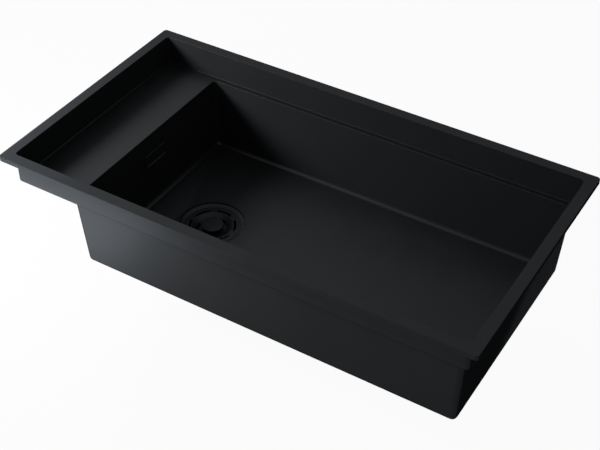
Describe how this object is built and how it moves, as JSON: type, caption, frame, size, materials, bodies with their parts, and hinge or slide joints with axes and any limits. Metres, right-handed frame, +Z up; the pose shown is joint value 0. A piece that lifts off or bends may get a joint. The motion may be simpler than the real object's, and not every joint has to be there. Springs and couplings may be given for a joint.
{
  "type": "kitchen sink",
  "caption": "Drop-in kitchen sink: flat rim, shallow tray with a shelf on the left, one deep bowl, basket waste with lift-up stopper, overflow piped to the waste.",
  "frame": {"origin": "middle of the rim in plan, on the top of the worktop (the lowest edge of the turned-down lip)", "axes": "+X along the long side, from the shelf to the deep end; +Y from front to back; +Z up"},
  "size_m": [0.85, 0.456, 0.2915],
  "materials": {
    "black_steel": "satin",
    "foam": "matt",
    "damping_rubber": "matt",
    "rubber": "matt",
    "plastic": "matt",
    "white_plastic": "matt",
    "steel": "satin",
    "brass": "satin"
  },
  "bodies": {
    "sink": {"rim_tray": "black_steel", "bowl": "black_steel", "rim_seal": "foam", "sound_pad": "damping_rubber", "drain_flange": "black_steel", "flange_gasket": "rubber", "body_gasket": "rubber", "waste_body": "plastic", "clamp_screw": "steel", "clamp_insert": "brass", "overflow_cover": "black_steel", "overflow_gasket": "rubber", "overflow_housing": "plastic", "overflow_screws": "steel", "overflow_pipe": "plastic", "upper_pipe_nut": "plastic", "lower_pipe_nut": "plastic", "upper_pipe_washer": "rubber", "lower_pipe_washer": "rubber"},
    "basket": {"strainer_basket": "black_steel", "stem_bush": "white_plastic"},
    "stopper": {"basket_knob": "black_steel", "stopper_stem": "steel", "stopper_seal": "rubber"}
  },
  "joints": [
    {"name": "basket_lift", "type": "slide", "parent": "sink", "child": "basket", "axis": [0, 0, 1], "range_m": [0, 0.045]},
    {"name": "stopper_pull", "type": "slide", "parent": "basket", "child": "stopper", "axis": [0, 0, 1], "range_m": [0, 0.007]}
  ]
}
